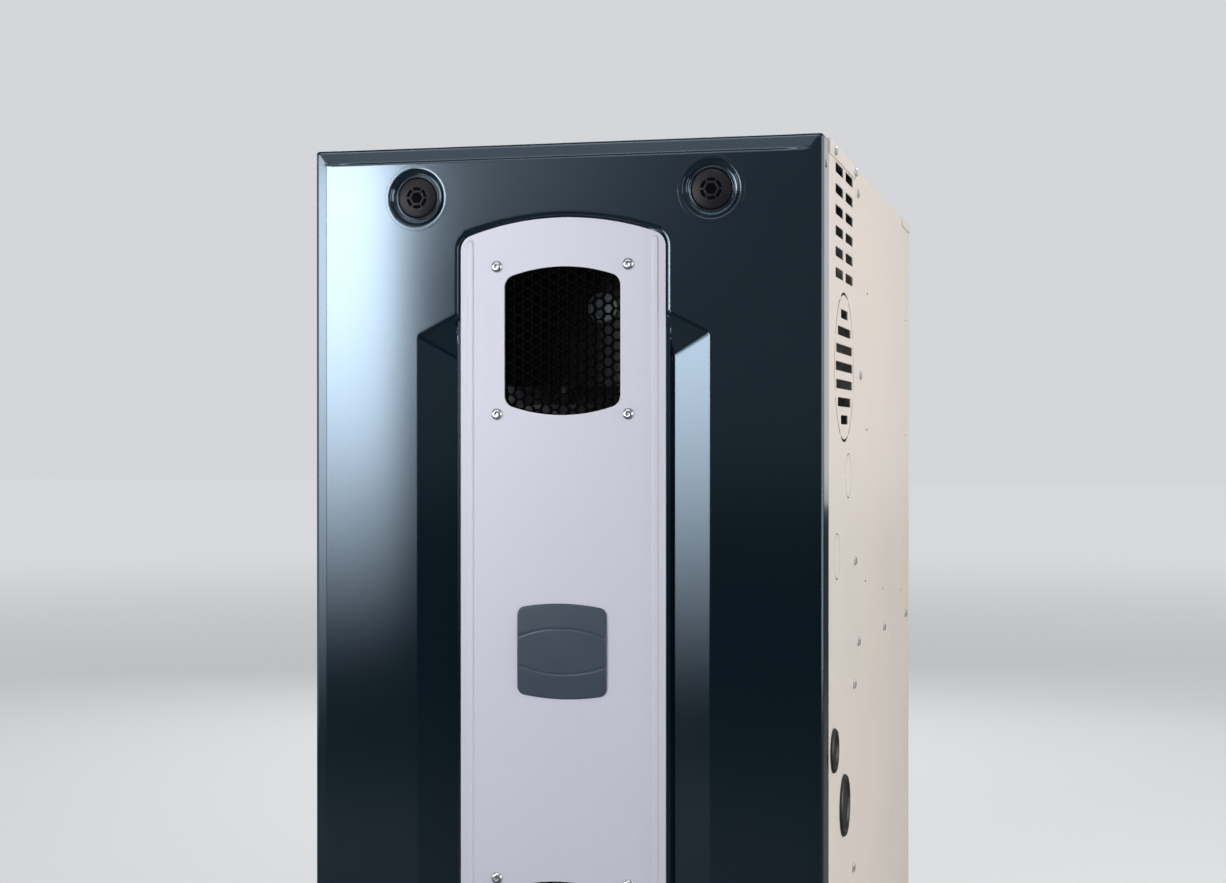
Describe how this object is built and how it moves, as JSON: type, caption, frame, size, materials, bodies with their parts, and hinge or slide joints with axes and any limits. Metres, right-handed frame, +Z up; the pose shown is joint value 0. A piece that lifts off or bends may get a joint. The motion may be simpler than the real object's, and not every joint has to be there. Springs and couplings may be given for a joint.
{
  "type": "forced air gas furnace",
  "caption": "Upflow forced air gas furnace: sheet steel cabinet with latched front door, burners, tubular heat exchanger, vent inducer, blower and controls inside.",
  "frame": {"origin": "middle of the base, on the floor", "axes": "+Z up, the front door faces -Y, the right side as seen from the front is +X"},
  "size_m": [0.4508, 0.73, 0.8666],
  "materials": {
    "side_paint": "satin",
    "door_paint": "gloss",
    "silver_strip": "satin",
    "badge_grey": "gloss",
    "black_screen": "satin",
    "knob_black": "satin",
    "zinc_screw": "bright",
    "black_plug": "matte",
    "galvanised": "spangled",
    "foam": "matte",
    "foil_board": "foil faced",
    "black_plastic": "matte",
    "white_plastic": "satin",
    "aluminised": "dull",
    "black_pipe": "matte",
    "brass": "satin",
    "cast_alloy": "cast",
    "red_plastic": "satin",
    "ceramic_white": "matte",
    "sight_glass": "clear",
    "motor_paint": "satin",
    "motor_alloy": "painted",
    "rubber_black": "matte",
    "clear_tube": "satin",
    "fin_stock": "bright",
    "board_green": "satin",
    "grey_steel": "satin",
    "wire_red": "satin"
  },
  "bodies": {
    "cabinet": {"left_side_panel": "side_paint", "right_side_panel": "side_paint", "back_panel": "side_paint", "base_pan": "galvanised", "top_front_panel": "side_paint", "latch_keepers": "galvanised", "door_gasket": "foam", "cabinet_screws": "zinc_screw", "hole_plugs": "black_plug", "vestibule_panel": "galvanised", "blower_deck": "galvanised", "blower_door": "galvanised", "pipe_collars": "black_plastic", "burner_box": "galvanised", "burner_box_cover": "motor_paint", "sight_glass": "sight_glass", "burners": "aluminised", "gas_manifold": "black_pipe", "gas_orifices": "brass", "gas_valve": "cast_alloy", "igniter": "ceramic_white", "flame_sensor": "ceramic_white", "rollout_switch": "black_plastic", "intake_pipe": "white_plastic", "inducer_housing": "black_plastic", "inducer_motor": "motor_paint", "collector_box": "black_plastic", "vent_coupling": "rubber_black", "vent_pipe": "white_plastic", "pressure_switch": "white_plastic", "pressure_tube": "clear_tube", "condensate_trap": "white_plastic", "drain_hose": "rubber_black", "heat_exchanger_tubes": "aluminised", "rear_header_box": "aluminised", "secondary_coil": "fin_stock", "limit_switch": "black_plastic", "blower_housing": "galvanised", "blower_motor": "motor_alloy", "motor_mount": "grey_steel", "control_panel": "galvanised", "control_board": "board_green", "transformer": "grey_steel", "junction_box": "galvanised", "door_switch": "black_plastic", "wire_harness": "wire_red"},
    "door": {"door_shell": "door_paint", "centre_strip": "silver_strip", "window_screens": "black_screen", "badge_plate": "badge_grey", "strip_screws": "zinc_screw", "door_stiffeners": "galvanised", "door_insulation": "foil_board"},
    "knob_left": {"knob_left": "knob_black"},
    "knob_right": {"knob_right": "knob_black"},
    "blower_rotor": {"blower_wheel": "galvanised"},
    "inducer_rotor": {"inducer_wheel": "aluminised"},
    "gas_valve_knob": {"gas_valve_knob": "red_plastic"},
    "reset_button": {"rollout_reset_button": "red_plastic"},
    "switch_plunger": {"door_switch_plunger": "white_plastic"}
  },
  "joints": [
    {"name": "door_tilt", "type": "hinge", "parent": "cabinet", "child": "door", "pos_m": [0, -0.359, 0.0015], "axis": [1, 0, 0], "range_deg": [0, 30]},
    {"name": "knob_left_turn", "type": "hinge", "parent": "door", "child": "knob_left", "pos_m": [-0.129, -0.359, 0.82], "axis": [0, 1, 0], "range_deg": [0, 90]},
    {"name": "knob_right_turn", "type": "hinge", "parent": "door", "child": "knob_right", "pos_m": [0.129, -0.359, 0.82], "axis": [0, 1, 0], "range_deg": [0, 90]},
    {"name": "blower_spin", "type": "hinge", "parent": "cabinet", "child": "blower_rotor", "pos_m": [0, 0.061, 0.215], "axis": [1, 0, 0], "continuous": true},
    {"name": "inducer_spin", "type": "hinge", "parent": "cabinet", "child": "inducer_rotor", "pos_m": [0.095, -0.183, 0.52], "axis": [0, 1, 0], "continuous": true},
    {"name": "gas_valve_turn", "type": "hinge", "parent": "cabinet", "child": "gas_valve_knob", "pos_m": [-0.18, -0.269, 0.57], "axis": [0, 1, 0], "range_deg": [0, 90]},
    {"name": "reset_press", "type": "slide", "parent": "cabinet", "child": "reset_button", "axis": [0, 1, 0], "range_m": [0, 0.002], "stiffness_N_per_m": 300},
    {"name": "plunger_slide", "type": "slide", "parent": "cabinet", "child": "switch_plunger", "axis": [0, -1, 0], "range_m": [0, 0.004]}
  ],
  "couplings": [
    {"joint": "plunger_slide", "follows": "door_tilt", "m_per_rad": 0.0076}
  ]
}
